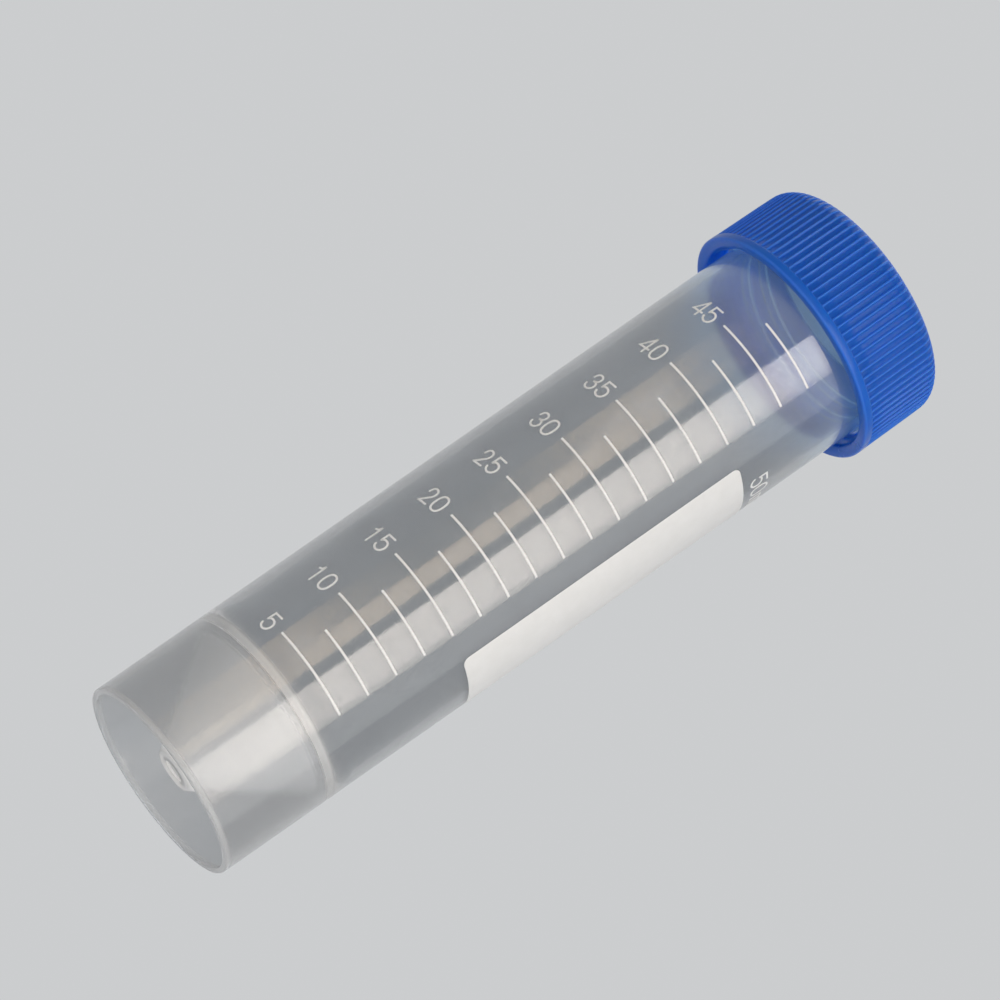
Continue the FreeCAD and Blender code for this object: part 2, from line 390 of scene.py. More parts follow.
def makePolypropylene():
    # natural polypropylene: clear with milk inside the wall, and a smooth moulded face; a painted blue
    # cast on the neck, and painted light lines on the thread flanks
    look = plastic
    material, nodes, links = newMaterial("clearPolypropylene")
    coords, noise, colour = patchyTone(nodes, links, look)
    place = nodes.new("ShaderNodeSeparateXYZ")
    links.new(coords.outputs["Object"], place.inputs["Vector"])
    height = place.outputs["Z"]
    # distance from the axis tells the cone from the walls round it
    reach = reachFromAxis(nodes, links, coords)
    inFoot = shareBetween(nodes, links, height, *look["footSpan"], "SMOOTHSTEP")
    inRoot = shareWithin(nodes, links, height, *look["rootSpan"])
    inNeck = shareBetween(nodes, links, height, *look["neckSpan"], "SMOOTHSTEP")
    inThread = shareBetween(nodes, links, height, *look["threadSpan"], "SMOOTHSTEP")
    onCone = shareBetween(nodes, links, reach, *look["coneReach"])
    onTip = shareBetween(nodes, links, reach, *look["tipReach"])
    onFlank = shareWithin(nodes, links, reach, *look["flankReach"])
    inGate = productOf(nodes, links, shareBetween(nodes, links, reach, *look["gateReach"]),
                       shareBetween(nodes, links, height, *look["gateSpan"]))
    hazy = hazeByHeight(nodes, links, height)
    # haze on the flanks, and the cone's pale tone on them below, paint light lines on the thread
    # ridges
    for share, amount in ((onCone, "coneHaze"), (onTip, "tipHaze"), (onFlank, "flankHaze"),
                          (inGate, "gateHaze")):
        hazy = workOut(nodes, links, "MULTIPLY_ADD", share, look[amount], hazy)
    # the neck's tone is a painted blue cast of the cap
    for share, other in ((inFoot, "footTone"), (inRoot, "rootTone"), (inNeck, "neckBlueCastTone"),
                         (inThread, "threadTone"), (onCone, "coneTone"), (onTip, "tipTone"),
                         (onFlank, "coneTone")):
        colour = blendTo(nodes, links, share, colour, look[other])
    dull = patchyGloss(nodes, links, noise, look)
    dull = workOut(nodes, links, "MULTIPLY_ADD", inFoot, look["footDull"], dull)
    dull = workOut(nodes, links, "MULTIPLY_ADD", inNeck, -look["neckShine"], dull)
    clear = workOut(nodes, links, "SUBTRACT", 1.0, hazy)
    shader = nodes.new("ShaderNodeBsdfPrincipled")
    links.new(colour, shader.inputs["Base Color"])
    links.new(dull, shader.inputs["Roughness"])
    links.new(clear, shader.inputs["Transmission Weight"])
    shader.inputs["IOR"].default_value = look["ior"]
    out = showSurface(nodes, links, passLamps(nodes, links, shader, look["lampPass"]))
    milk = nodes.new("ShaderNodeVolumeScatter")
    milk.inputs["Color"].default_value = (*look["milkTone"], 1)
    milk.inputs["Density"].default_value = look["milk"]
    links.new(milk.outputs["Volume"], out.inputs["Volume"])
    return material


ribs = {
    "count": 94,
    "turnDeg": 2.9,  # where a rib stands from the side that faces -Y
    "foot": 1.25 * mm,  # over the mouth, where the plain lip ends
}
# pairs tell where a share is 0 and where it is 1
bluePlasticLook = {
    "darkTone": (0.001, 0.072, 0.39),
    "lightTone": (0.002, 0.084, 0.46),
    "patchScale": 90,
    "patchDetail": 4.0,
    "paintedHighlightTone": (0.028, 0.145, 0.58),  # painted highlight on the crests of the ribs and on the lip's lower edge
    "crestShare": (0.30, 0.85),  # on a wave that is 1 along the middle of every rib
    "crestStart": (ribs["foot"], ribs["foot"] + 0.1 * mm),  # over the mouth
    "crestEnd": (0.2 * mm, 1.0 * mm),  # under the top
    "outsideReach": (15.85 * mm, 16.05 * mm),
    # painted highlight: the plain lip and the mouth a paler blue than the ribs
    "lipHighlightTone": (0.004, 0.105, 0.51),
    "lipHigh": (ribs["foot"] + 0.05 * mm, ribs["foot"]),  # over the mouth
    "edgeHigh": (0.42 * mm, 0.21 * mm),  # painted highlight along the lower edge of the lip
    "edgeDeep": (0.4 * mm, 0.1 * mm),  # in from the lip's face
    "boreGlowTone": (0.006, 0.17, 0.82),  # painted glow: the bore a much paler blue, standing for light that comes through the wall
    "insideReach": (15.95 * mm, 15.85 * mm),
    "insideHigh": (0.9 * mm, 1.1 * mm),  # under the top
    "insideLow": (0.8 * mm, 3.5 * mm),  # over the mouth
    "glow": 0.5,  # share of the light that soaks through
    "insideGlow": 0.35,  # more by this inside
    "glowReach": (0.15, 0.4, 1.0),
    "glowDepth": 2.0 * mm,
    "gloss": (0.26, 0.36),
    "topMatte": 0.28,  # rougher by this on the top
    "topEdge": (2.6 * mm, 0.9 * mm),  # under the top
    "shine": 0.2,
    "grainScale": 1400,
    "grainStrength": 0.12,
    "grainDepth": 0.2 * mm,
    "lampPass": (0.30, 0.68, 0.97),
}


def makeBluePlastic():
    # moulded blue plastic with a satin face, that lets a little light through; painted highlights on
    # the rib crests, the lip and its lower edge, and a painted glow in the bore
    look = bluePlasticLook
    material, nodes, links = newMaterial("bluePlastic")
    coords, noise, colour = patchyTone(nodes, links, look)
    reach = reachFromAxis(nodes, links, coords)
    place = nodes.new("ShaderNodeSeparateXYZ")
    links.new(coords.outputs["Object"], place.inputs["Vector"])
    height = place.outputs["Z"]

    def overMouth(none, full):
        return shareBetween(nodes, links, height, capLow.z + none, capLow.z + full)

    def underTop(none, full):
        return shareBetween(nodes, links, height, capHigh.z - none, capHigh.z - full)

    def fromFace(none, full):
        return shareBetween(nodes, links, reach, capHigh.x - none, capHigh.x - full)

    # a wave round the cap that is 1 on every crest
    angle = workOut(nodes, links, "ARCTAN2", place.outputs["Y"], place.outputs["X"])
    turned = workOut(nodes, links, "SUBTRACT", angle, math.radians(ribs["turnDeg"] - 90))
    wave = workOut(nodes, links, "COSINE", workOut(nodes, links, "MULTIPLY", turned, ribs["count"]))
    # the crests, where a painted highlight lies
    crest = productOf(nodes, links, shareBetween(nodes, links, wave, *look["crestShare"]),
                      overMouth(*look["crestStart"]), underTop(*look["crestEnd"]),
                      shareBetween(nodes, links, reach, *look["outsideReach"]))
    # the plain lip and the mouth, which get a painted highlight
    lip = overMouth(*look["lipHigh"])
    # the lip's lower edge, which gets a painted highlight
    edge = productOf(nodes, links, overMouth(*look["edgeHigh"]), fromFace(*look["edgeDeep"]))
    # the bore, which gets a painted glow
    inside = productOf(nodes, links, shareBetween(nodes, links, reach, *look["insideReach"]),
                       underTop(*look["insideHigh"]), overMouth(*look["insideLow"]))
    for share, other in ((lip, "lipHighlightTone"), (crest, "paintedHighlightTone"), (edge, "paintedHighlightTone"),
                         (inside, "boreGlowTone")):
        colour = blendTo(nodes, links, share, colour, look[other])
    dull = workOut(nodes, links, "MULTIPLY_ADD", underTop(*look["topEdge"]), look["topMatte"],
                   patchyGloss(nodes, links, noise, look))
    glow = workOut(nodes, links, "MULTIPLY_ADD", inside, look["insideGlow"], look["glow"])
    shader = nodes.new("ShaderNodeBsdfPrincipled")
    links.new(colour, shader.inputs["Base Color"])
    links.new(dull, shader.inputs["Roughness"])
    shader.inputs["Specular IOR Level"].default_value = look["shine"]
    links.new(glow, shader.inputs["Subsurface Weight"])
    shader.inputs["Subsurface Radius"].default_value = look["glowReach"]
    shader.inputs["Subsurface Scale"].default_value = look["glowDepth"]
    links.new(fineBump(nodes, links, coords, look), shader.inputs["Normal"])
    showSurface(nodes, links, passLamps(nodes, links, shader, look["lampPass"]))
    return material


linerLook = {
    "darkTone": (0.72, 0.72, 0.70),
    "lightTone": (0.82, 0.82, 0.80),
    "patchScale": 500,
    "patchDetail": 4.0,
    "gloss": (0.55, 0.70),
    "grainScale": 2600,
    "grainStrength": 0.25,
    "grainDepth": 0.3 * mm,
}
inkLook = {
    "darkTone": (0.735, 0.755, 0.765),
    "lightTone": (0.765, 0.785, 0.80),
    "patchScale": 420,
    "patchDetail": 6.0,
    "gloss": (0.42, 0.60),
    "grainScale": 1800,
    "grainStrength": 0.2,
    "grainDepth": 0.2 * mm,
    "glow": 0.4,  # share of the light that soaks through the film
    "glowReach": (1, 1, 1),
    "glowDepth": 0.1 * mm,
    "lampPass": (0.45, 0.45, 0.44),
}


def makeWhite(name, look):
    # uneven white with a fine grain, from its own tones and gloss
    material, nodes, links = newMaterial(name)
    coords, noise, colour = patchyTone(nodes, links, look)
    shader = nodes.new("ShaderNodeBsdfPrincipled")
    links.new(colour, shader.inputs["Base Color"])
    links.new(patchyGloss(nodes, links, noise, look), shader.inputs["Roughness"])
    links.new(fineBump(nodes, links, coords, look), shader.inputs["Normal"])
    return material, nodes, links, shader


def makeWhiteLiner():
    # soft white foam sheet of the sealing disc
    material, nodes, links, shader = makeWhite("whiteLiner", linerLook)
    showSurface(nodes, links, shader.outputs["BSDF"])
    return material


def makeWhiteInk():
    # screen-printed white ink, a little uneven where it lies thinner
    look = inkLook
    material, nodes, links, shader = makeWhite("whiteInk", look)
    shader.inputs["Subsurface Weight"].default_value = look["glow"]
    shader.inputs["Subsurface Radius"].default_value = look["glowReach"]
    shader.inputs["Subsurface Scale"].default_value = look["glowDepth"]
    showSurface(nodes, links, passLamps(nodes, links, shader, look["lampPass"]))
    return material


clearPolypropylene = makePolypropylene()
bluePlastic = makeBluePlastic()
whiteLiner = makeWhiteLiner()
whiteInk = makeWhiteInk()
print("materials made")


neckStart = tubeTop - tube["neckLength"]
draft = math.tan(math.radians(tube["draftDeg"]))


def wallRadius(z):
    # outer radius of the barrel and the skirt at this height
    return tube["neckRadius"] - max(neckStart - z, 0) * draft


def makeTube():
    size = tube
    baseOut = wallRadius(0)
    baseIn = baseOut - size["skirtWall"]
    springR = baseIn + size["skirtHeight"] * draft
    slope = (springR - size["tipRadius"]) / (size["skirtHeight"] - size["tipLift"])
    lean = math.degrees(math.atan2(1, slope))  # the cone's face above the level
    shift = size["coneWall"] * math.sqrt(1 + slope * slope)
    neckIn = size["neckRadius"] - size["wall"]
    wellFoot = neckIn - neckStart * draft
    wellBottom = size["tipLift"] + size["tipFloor"]
    wellTop = (wellFoot - size["tipRadius"] + shift + slope * size["tipLift"]) / (slope - draft)
    rim = size["rimRound"]
    angles = evenAngles(size["columns"])
    bm = bmesh.new()

    # feed mark, tip, cone's outer face and the skirt's inner face
    gateTop = size["tipLift"] + size["gateDepth"]
    tipTurn = size["tipRound"] * math.tan(math.radians(lean) / 2)
    tipEdge = size["tipRadius"] - tipTurn
    below = [(0, gateTop), (size["gateRadius"] - size["gateBevel"], gateTop)]
    below += [(size["gateRadius"], gateTop - size["gateBreak"] * size["gateDepth"])]
    below += [(size["gateRadius"] + size["gateLean"], size["tipLift"])]
    below += arcRun(tipEdge, size["tipLift"] + size["tipRound"], size["tipRound"], -90, lean - 90, 6)
    coneStart = (below[-1][0] + slope * mm, below[-1][1] + mm)
    coneDrop, rootDrop, wallDrop = size["rootEase"]
    coneEnd = (springR - slope * coneDrop, size["skirtHeight"] - coneDrop)
    below += straightRun(coneStart, coneEnd, 5)
    below += [(springR, size["skirtHeight"] - rootDrop), (springR, size["skirtHeight"] - wallDrop)]
    below += straightRun((springR, size["skirtHeight"] - mm), (baseIn, 2 * rim), 6)
    below += arcRun(baseIn + rim, rim, rim, 180, 270, 5)
    # standing rim and barrel
    barrel = arcRun(baseOut - rim, rim, rim, -90, 0, 5)
    barrel += [(wallRadius(z * mm), z * mm) for z in size["barrelRings"]]
    # neck with its thread
    rings = round((size["neckLength"] - rim) / size["ringStep"])
    neck = straightRun((size["neckRadius"], neckStart), (size["neckRadius"], tubeTop - rim), rings)
    neck += arcRun(size["neckRadius"] - rim, tubeTop - rim, rim, 0, 90, 4)[1:]
    # mouth, bore and the inner cone
    inner = arcRun(neckIn + rim, tubeTop - rim, rim, 90, 180, 4)
    inner += [(neckIn, z * mm) for z in size["boreRings"]]
    inner += [(neckIn, neckStart)]
    inner += [(neckIn - (neckStart - z * mm) * draft, z * mm) for z in size["wellRings"]]
    inner += [(wellFoot + wellTop * draft, wellTop)]
    wellTurn = size["wellRound"] * math.tan(math.radians(lean) / 2)
    wellEdge = size["tipRadius"] - shift + slope * size["tipFloor"] - wellTurn
    floorArc = arcRun(wellEdge, wellBottom + size["wellRound"], size["wellRound"], lean - 90, -90, 6)
    inner += straightRun((wellFoot + wellTop * draft, wellTop), floorArc[0], 6)[1:-1]
    inner += floorArc + [(0, wellBottom)]

    def neckRadiusAt(r, z, angle):
        return r + ridgeHeight(z, angle, thread["startOnNeck"])

    seam = turnOutline(bm, below + barrel, angles)
    seam = turnOutline(bm, neck, angles, neckRadiusAt, seam)
    turnOutline(bm, inner, angles, None, seam)
    piece = finishPiece(bm, "conicalTube", clearPolypropylene, "tube",
                        size["sharpDeg"])
    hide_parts("tube")


makeTube()


cap = {
    "wall": 1.25 * mm,
    "top": 1.75 * mm,
    "floorDrop": 0.47 * mm,  # the bore's wall is measured from here
    "ribHeight": 0.24 * mm,
    "ribHalf": 0.29 * mm,  # half width at the foot
    "crownRound": 2.35 * mm,
    "ribsEndDeg": 66,  # how far the ribs run over the rounded edge
    "draft": 0.12 * mm,
    "lipProud": 0.03 * mm,
    "lipRound": 0.3 * mm,
    "lipTopRound": 0.12 * mm,
    "mouthChamfer": 0.4 * mm,
    "boreCorner": 0.3 * mm,
    "boreColumns": 240,
    "ceilingRings": (0.35, 0.8),  # shares of the bore's radius
    "ringStep": 0.14 * mm,
    # columns across a rib, in half widths from its middle
    "ribColumns": (-1.0, -0.8, -0.6, -0.4, -0.2, 0.0, 0.2, 0.4, 0.6, 0.8, 1.0),
    "ribRings": (0.02, 0.12, 0.25, 2, 4, 6, 8),  # mm over the lip
    "ribRunIn": 0.25 * mm,  # height over which a rib starts
    "ribStart": 0.15,  # share of its height where it starts
    "ribHold": 1.6,  # how long it keeps its height over the rounded edge
    "topColumns": 96,
    "topInset": 0.6 * mm,
    # the flat top with the small mark of the feed point: radius and depth in mm
    "topRings": ((9, 0), (1.6, 0), (1.3, 0.12), (0.7, 0.12), (0.45, 0.02), (0, 0.02)),
    "sharpDeg": 38,
}


def makeCap():
    size = cap
    mouth = capLow.z
    crown = capHigh.z
    lipR = capHigh.x
    ribR = lipR - size["lipProud"]
    bore = ribR - size["floorDrop"] - size["wall"]
    ceiling = crown - size["top"]
    ribFoot = mouth + ribs["foot"]
    pitch = fullTurn / ribs["count"]
    firstRib = math.radians(ribs["turnDeg"] - 90) % pitch
    angles = []
    for k in range(ribs["count"]):
        for share in size["ribColumns"]:
            angles.append((firstRib + pitch * k + share * size["ribHalf"] / ribR) % fullTurn)
        angles.append((firstRib + pitch * (k + 0.5)) % fullTurn)
    angles.sort()

    def ribTop(angle):
        # share of a rib's full height at this place round the cap
        turn = (angle - firstRib) / pitch
        off = abs(turn - round(turn)) * pitch * ribR
        if off > size["ribHalf"]:
            return 0.0
        return 0.5 + 0.5 * math.cos(math.pi * off / size["ribHalf"])

    topR = ribR - size["draft"]
    crownRound = size["crownRound"]

    def gripRadiusAt(r, z, angle):
        # valleys between the ribs grow shallow over the rounded edge
        over = math.degrees(math.asin(min(max((z - crown + crownRound) / crownRound, 0), 1)))
        left = min(max(1 - over / size["ribsEndDeg"], 0), 1)
        foot = min((z - ribFoot) / size["ribRunIn"], 1)
        grown = size["ribStart"] + (1 - size["ribStart"]) * foot
        depth = size["ribHeight"] * min(left * size["ribHold"], 1) * grown
        return r - depth * (1 - ribTop(angle))

    bm = bmesh.new()
    boreAngles = evenAngles(size["boreColumns"])
    # ceiling, bore with its thread, and the mouth
    corner = size["boreCorner"]
    inside = [(0, ceiling)] + [(bore * share, ceiling) for share in size["ceilingRings"]]
    inside += arcRun(bore - corner, ceiling - corner, corner, 90, 0, 3)
    rings = round((ceiling - corner - mouth - size["mouthChamfer"]) / size["ringStep"])
    inside += straightRun((bore, ceiling - corner), (bore, mouth + size["mouthChamfer"]), rings)[1:]
    inside += [(bore + size["mouthChamfer"], mouth)]

    def boreRadiusAt(r, z, angle):
        return r - ridgeHeight(z, angle, thread["startInCap"])

    seam = turnOutline(bm, inside, boreAngles, boreRadiusAt)
    # lip
    lipRound = size["lipRound"]
    lipTop = size["lipTopRound"]
    lip = arcRun(lipR - lipRound, mouth + lipRound, lipRound, -90, 0, 5)
    lip += arcRun(lipR - lipTop, ribFoot - lipTop, lipTop, 0, 90, 3)
    seam = turnOutline(bm, lip, angles, None, seam)
    # ribbed side and the rounded edge of the top
    lean = size["draft"] / (crown - ribFoot)
    side = [(ribR - lean * z * mm, ribFoot + z * mm) for z in size["ribRings"]]
    side += arcRun(topR - crownRound, crown - crownRound, crownRound, 0, 90, 16)
    seam = turnOutline(bm, side, angles, gripRadiusAt, seam)
    # flat top with the small mark of the feed point
    flat = [(topR - crownRound - size["topInset"], crown)]
    flat += [(r * mm, crown - depth * mm) for r, depth in size["topRings"]]
    turnOutline(bm, flat, evenAngles(size["topColumns"]), None, seam)
    piece = finishPiece(bm, "screwCap", bluePlastic, "cap", size["sharpDeg"])
    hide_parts("cap")


makeCap()


seal = {
    "edgeRound": 0.18 * mm,
    "columns": 160,
    "pressedWidth": 1.3 * mm,  # the ring that the mouth's rim has pressed into the liner
    "pressedDepth": 0.05 * mm,
    "pressedSlope": 0.2 * mm,
    "lowRing": 6 * mm,
    "highRing": 8 * mm,
    "sharpDeg": 34,
}


def makeSeal():
    reach = sealHigh.x
    low = sealLow.z
    high = sealHigh.z
    edge = seal["edgeRound"]
    mid = tube["neckRadius"] - tube["wall"] / 2
    half = seal["pressedWidth"] / 2
    dip = seal["pressedDepth"]
    slope = seal["pressedSlope"]
    outline = [(0, low), (seal["lowRing"], low), (mid - half - slope, low), (mid - half, low + dip)]
    outline += [(mid + half, low + dip), (mid + half + slope, low)]
    outline += arcRun(reach - edge, low + edge, edge, -90, 0, 4)
    outline += arcRun(reach - edge, high - edge, edge, 0, 90, 4)
    outline += [(seal["highRing"], high), (0, high)]
    bm = bmesh.new()
    turnOutline(bm, outline, evenAngles(seal["columns"]))
    piece = finishPiece(bm, "sealingDisc", whiteLiner, "seal", seal["sharpDeg"])
    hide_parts("seal_disc")


makeSeal()


# the print on the wall
ink = {
    "lift": 0.012 * mm,  # under the ink film
    "film": 0.022 * mm,
    "stepDeg": 1.5,
    "markWidth": 0.33 * mm,
    "firstMark": 21.134 * mm,  # height of the lowest mark
    "firstMl": 5,
    "lastNumberMl": 45,
    "numberStepMl": 5,
    "markStepMl": 2.5,
    "marks": 18,
    "perMl": 1.8275 * mm,
    "longFromDeg": -27.5,
    "shortFromDeg": -15.1,
    "markToDeg": 25.5,
    "digitHeight": 2.72 * mm,  # along the middle of the stroke
    "digitWidth": 1.56 * mm,
    "digitStroke": 0.30 * mm,
    "digitDrop": 0.04 * mm,  # a number's middle under its mark
    "advance": 2.18 * mm,
    "digitsDeg": -36.8,  # middle of the last digit of a number
    "panelFromDeg": 41.6,
    "panelToDeg": 105.0,
    "panelLow": 39.2 * mm,
    "panelHigh": 85.35 * mm,
    "panelMiddle": 60 * mm,  # height where its angles are measured
    "panelCorner": 1.0 * mm,
    "panelCornerSteps": 10,
    "panelSteps": 40,
    "capacityHeight": 88.1 * mm,
    "capacityDeg": 60.0,
    # sign, its place in advances and its width in digits
    "capacity": (("5", 0, 1), ("0", 1, 1), ("m", 2.15, 1.25), ("l", 3.1, 1)),
    "sharpDeg": 50,
}

# strokes of each sign in a box 1 wide and 1 high; "bow" runs are smoothed, "rod" runs are straight
signs = {
    "0": [("ring", [])],
    "1": [("bow", [(0.10, 0.80), (0.34, 0.84), (0.50, 1.0)]), ("rod", [(0.52, 1.0), (0.52, 0.0)])],
    "2": [("bow", [(0.04, 0.70), (0.12, 0.88), (0.32, 0.99), (0.56, 0.99), (0.80, 0.89), (0.88, 0.70),
                   (0.78, 0.52), (0.56, 0.35), (0.28, 0.16), (0.02, 0.01)]),
          ("rod", [(0.0, 0.01), (1.0, 0.01)])],
    "3": [("bow", [(0.05, 0.74), (0.16, 0.91), (0.38, 1.0), (0.66, 0.98), (0.88, 0.86), (0.88, 0.68),
                   (0.72, 0.56), (0.44, 0.52)]),
          ("bow", [(0.46, 0.53), (0.74, 0.50), (0.93, 0.38), (0.96, 0.22), (0.80, 0.06), (0.52, -0.01),
                   (0.24, 0.03), (0.06, 0.15), (0.0, 0.25)])],
    "4": [("rod", [(0.74, 1.0), (0.74, -0.03)]),
          ("rod", [(0.72, 1.0), (-0.06, 0.27), (1.06, 0.27)])],
    "5": [("rod", [(0.94, 0.99), (0.14, 0.99), (0.10, 0.53)]),
          ("bow", [(0.10, 0.53), (0.26, 0.63), (0.50, 0.66), (0.78, 0.61), (0.97, 0.46), (0.99, 0.28),
                   (0.86, 0.10), (0.62, 0.0), (0.38, 0.01), (0.14, 0.10), (0.02, 0.24)])],
    "m": [("rod", [(0.0, 0.66), (0.0, 0.0)]),
          ("bow", [(0.0, 0.50), (0.12, 0.63), (0.30, 0.67), (0.45, 0.60), (0.50, 0.44), (0.50, 0.0)]),
          ("bow", [(0.50, 0.50), (0.62, 0.63), (0.80, 0.67), (0.95, 0.60), (1.0, 0.44), (1.0, 0.0)])],
    "l": [("rod", [(0.5, 1.0), (0.5, 0.0)])],
}


def bowRun(points, steps=6):
    # a smooth run through the given points
    run = []
    for k in range(len(points) - 1):
        before = points[max(k - 1, 0)]
        start = points[k]
        end = points[k + 1]
        after = points[min(k + 2, len(points) - 1)]
        for s in range(steps):
            t = s / steps
            place = []
            for i in (0, 1):
                place.append(0.5 * (2 * start[i] + (end[i] - before[i]) * t
                                    + (2 * before[i] - 5 * start[i] + 4 * end[i] - after[i]) * t * t
                                    + (3 * start[i] - before[i] - 3 * end[i] + after[i]) * t ** 3))
            run.append(tuple(place))
    run.append(points[-1])
    return run


def ringRun(steps=44, squareness=2.35):
    # the closed loop of a narrow 0
    run = []
    for k in range(steps):
        a = fullTurn * k / steps
        c = math.cos(a)
        s = math.sin(a)
        x = math.copysign(abs(c) ** (2 / squareness), c)
        y = math.copysign(abs(s) ** (2 / squareness), s)
        run.append((0.5 + 0.5 * x, 0.5 + 0.5 * y))
    return run


def onWall(u, z, lift):
    # a place on the barrel: u runs round it in metres from the side that faces -Y
    a = u / wallRadius(z) - math.pi / 2
    r = wallRadius(z) + lift
    return (r * math.cos(a), r * math.sin(a), z)


def layInk(bm, left, right, closed=False):
    # a film between two edges given as (u, z) points, closed all round
    top = ink["lift"] + ink["film"]
    rows = []
    for a, b in zip(left, right):
        rows.append([bm.verts.new(onWall(*a, top)), bm.verts.new(onWall(*b, top)),
                     bm.verts.new(onWall(*b, ink["lift"])), bm.verts.new(onWall(*a, ink["lift"]))])
    count = len(rows)
    for k in range(count if closed else count - 1):
        here = rows[k]
        there = rows[(k + 1) % count]
        for i in range(4):
            j = (i + 1) % 4
            bm.faces.new((here[i], here[j], there[j], there[i]))
    if not closed:
        bm.faces.new(rows[0][::-1])
        bm.faces.new(rows[-1])


def stroke(bm, points, width, closed=False):
    # a pen stroke of one width through (u, z) points, with mitred corners and round ends
    half = width / 2
    left = []
    right = []

    def across(place, along, ahead, wide):
        # a pair of edge points, one each side of the line
        side = Vector((-along.y, along.x))
        left.append(tuple(place + along * ahead + side * wide))
        right.append(tuple(place + along * ahead - side * wide))

    places = [Vector(point) for point in points]
    count = len(places)
    endArc = []
    for deg in (90, 60, 30):
        a = math.radians(deg)
        endArc.append((half * math.cos(a), half * math.sin(a)))
    for k, here in enumerate(places):
        into = (here - places[k - 1]).normalized()
        out = (places[(k + 1) % count] - here).normalized()
        if k == 0 and not closed:
            for ahead, wide in reversed(endArc):
                across(here, out, -ahead, wide)
        elif k == count - 1 and not closed:
            for ahead, wide in endArc:
                across(here, into, ahead, wide)
        else:
            along = (into + out).normalized()
            across(here, along, 0, half / max(along.dot(into), 0.5))
    layInk(bm, left, right, closed)


def drawSign(bm, sign, centreU, centreZ, width, height):
    for kind, points in signs[sign]:
        closed = kind == "ring"
        run = ringRun() if closed else bowRun(points) if kind == "bow" else points
        placed = [(centreU + (x - 0.5) * width, centreZ + (y - 0.5) * height) for x, y in run]
        stroke(bm, placed, ink["digitStroke"], closed)


def inkPiece(bm, name):
    bmesh.ops.recalc_face_normals(bm, faces=bm.faces)
    finishPiece(bm, name, whiteInk, "tube", ink["sharpDeg"])


def scaleHeight(ml):
    return ink["firstMark"] + (ml - ink["firstMl"]) * ink["perMl"]


def makeMarks():
    # every other mark is a long one
    bm = bmesh.new()
    for step in range(ink["marks"]):
        z = scaleHeight(ink["firstMl"] + ink["markStepMl"] * step)
        start = ink["longFromDeg"] if step % 2 == 0 else ink["shortFromDeg"]
        count = round((ink["markToDeg"] - start) / ink["stepDeg"])
        left = []
        right = []
        for k in range(count + 1):
            u = math.radians(start + (ink["markToDeg"] - start) * k / count) * wallRadius(z)
            left.append((u, z + ink["markWidth"] / 2))
            right.append((u, z - ink["markWidth"] / 2))
        layInk(bm, left, right)
    inkPiece(bm, "scaleMarks")


def makeNumbers():
    bm = bmesh.new()
    for ml in range(ink["firstMl"], ink["lastNumberMl"] + 1, ink["numberStepMl"]):
        z = scaleHeight(ml)
        for k, sign in enumerate(reversed(str(ml))):
            u = math.radians(ink["digitsDeg"]) * wallRadius(z) - k * ink["advance"]
            drawSign(bm, sign, u, z - ink["digitDrop"], ink["digitWidth"], ink["digitHeight"])
    inkPiece(bm, "scaleNumbers")


def makeCapacity():
    bm = bmesh.new()
    z = ink["capacityHeight"]
    u = math.radians(ink["capacityDeg"]) * wallRadius(z)
    for sign, place, width in ink["capacity"]:
        drawSign(bm, sign, u + place * ink["advance"], z, width * ink["digitWidth"],
                 ink["digitHeight"])
    inkPiece(bm, "capacityText")


def makePanel():
    # the white patch for writing on
    bm = bmesh.new()
    radius = wallRadius(ink["panelMiddle"])
    start = math.radians(ink["panelFromDeg"]) * radius
    end = math.radians(ink["panelToDeg"]) * radius
    corner = ink["panelCorner"]
    steps = ink["panelSteps"]
    cornerSteps = ink["panelCornerSteps"]
    turns = [math.radians(90 * k / cornerSteps) for k in range(cornerSteps + 1)]
    places = [start + corner * (1 - math.cos(a)) for a in turns]
    places += [start + corner + (end - start - 2 * corner) * k / steps for k in range(1, steps)]
    places += [end - corner * (1 - math.cos(a)) for a in reversed(turns)]
    left = []
    right = []
    for u in places:
        inset = max(corner - (u - start), corner - (end - u), 0)
        drop = corner - math.sqrt(max(corner * corner - inset * inset, 0))
        left.append((u, ink["panelHigh"] - drop))
        right.append((u, ink["panelLow"] + drop))
    layInk(bm, left, right)
    inkPiece(bm, "writingPanel")


makeMarks()
makeNumbers()
makeCapacity()
makePanel()


studio = {
    "paper": (0.60, 0.61, 0.62),
    "fill": 0.17,
    "floorTone": (0.62, 0.63, 0.64),
    "floorRings": (0, 0.1, 0.2, 0.45),
    "floorColumns": 64,
    "floorFadeFrom": 0.12,
    "floorFadeTo": 0.42,
    "floorShine": 0.5,  # share of the floor that shows as lit paper
}


def seenRays(nodes, links):
    # 1 for what the camera sees, straight or through gloss and clear plastic
    path = nodes.new("ShaderNodeLightPath")
    seen = path.outputs["Is Camera Ray"]
    for name in ("Is Glossy Ray", "Is Transmission Ray"):
        seen = workOut(nodes, links, "MAXIMUM", seen, path.outputs[name])
    return seen


def makeWorld():
    # soft fill for the object, and pale paper for whatever looks past it
    world = bpy.data.worlds.new("studio")
    bpy.context.scene.world = world
    world.use_nodes = True
    nodes = world.node_tree.nodes
    links = world.node_tree.links
    nodes.clear()
    seen = nodes.new("ShaderNodeBackground")
    seen.inputs["Color"].default_value = (*studio["paper"], 1)
    fill = nodes.new("ShaderNodeBackground")
    fill.inputs["Color"].default_value = (1, 1, 1, 1)
    fill.inputs["Strength"].default_value = studio["fill"]
    both = mixOf(nodes, links, seenRays(nodes, links), fill.outputs["Background"],
                 seen.outputs["Background"])
    out = nodes.new("ShaderNodeOutputWorld")
    links.new(both, out.inputs["Surface"])


